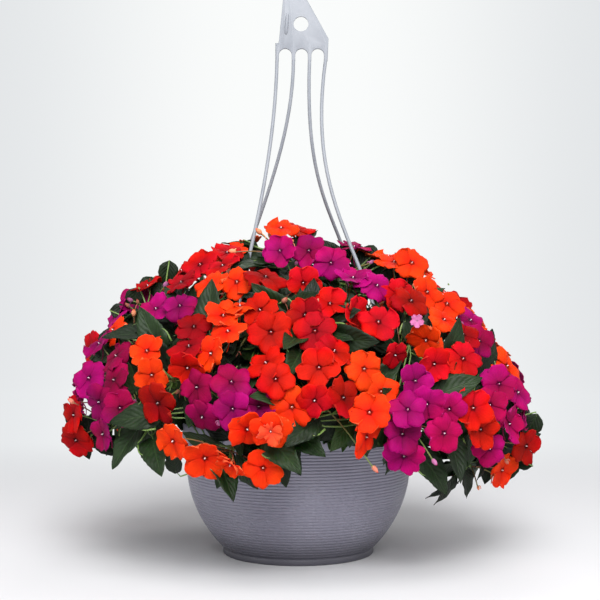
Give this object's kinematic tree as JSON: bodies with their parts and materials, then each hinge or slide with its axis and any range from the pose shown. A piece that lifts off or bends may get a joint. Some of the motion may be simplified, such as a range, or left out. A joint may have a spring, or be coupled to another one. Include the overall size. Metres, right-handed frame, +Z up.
{
  "type": "busy lizzie basket",
  "caption": "Round mound of busy lizzies in flower, in a ribbed bowl-shaped pot that stands on its foot, with a stiff moulded hanger above.",
  "frame": {"origin": "middle of the flat underside of the pot's foot, on the surface that it stands on", "axes": "+Z up through the pot, +X to the right and -Y to the front as the picture shows it"},
  "size_m": [0.6223, 0.6129, 0.8105],
  "materials": {
    "pot": "satin moulded grey, fine ribs",
    "hanger": "satin moulded light grey",
    "soil": "rough, crumbly and moist",
    "leaf": "satin, with paler veins",
    "petal_orange": "velvety, slightly translucent",
    "petal_red": "velvety, slightly translucent",
    "petal_magenta": "velvety, slightly translucent"
  },
  "bodies": {
    "root": {"blooms_magenta_01": "petal_magenta", "blooms_magenta_02": "petal_magenta", "blooms_magenta_03": "petal_magenta", "blooms_magenta_04": "petal_magenta", "blooms_magenta_05": "petal_magenta", "blooms_magenta_06": "petal_magenta", "blooms_magenta_07": "petal_magenta", "blooms_magenta_08": "petal_magenta", "blooms_magenta_09": "petal_magenta", "blooms_magenta_10": "petal_magenta", "blooms_magenta_11": "petal_magenta", "blooms_magenta_12": "petal_magenta", "blooms_magenta_13": "petal_magenta", "blooms_magenta_14": "petal_magenta", "blooms_magenta_15": "petal_magenta", "blooms_magenta_16": "petal_magenta", "blooms_magenta_17": "petal_magenta", "blooms_magenta_18": "petal_magenta", "blooms_magenta_19": "petal_magenta", "blooms_orange_01": "petal_orange", "blooms_orange_02": "petal_orange", "blooms_orange_03": "petal_orange", "blooms_orange_04": "petal_orange", "blooms_orange_05": "petal_orange", "blooms_orange_06": "petal_orange", "blooms_orange_07": "petal_orange", "blooms_orange_08": "petal_orange", "blooms_orange_09": "petal_orange", "blooms_orange_10": "petal_orange", "blooms_orange_11": "petal_orange", "blooms_orange_12": "petal_orange", "blooms_orange_13": "petal_orange", "blooms_orange_14": "petal_orange", "blooms_orange_15": "petal_orange", "blooms_orange_16": "petal_orange", "blooms_orange_17": "petal_orange", "blooms_red_01": "petal_red", "blooms_red_02": "petal_red", "blooms_red_03": "petal_red", "blooms_red_04": "petal_red", "blooms_red_05": "petal_red", "blooms_red_06": "petal_red", "blooms_red_07": "petal_red", "blooms_red_08": "petal_red", "blooms_red_09": "petal_red", "blooms_red_10": "petal_red", "blooms_red_11": "petal_red", "blooms_red_12": "petal_red", "blooms_red_13": "petal_red", "blooms_red_14": "petal_red", "blooms_red_15": "petal_red", "blooms_red_16": "petal_red", "foliage_1": "leaf", "foliage_2": "leaf", "foliage_3": "leaf", "foliage_4": "leaf", "foliage_5": "leaf", "hanger": "hanger", "pot": "pot", "soil": "soil"}
  },
  "joints": []
}
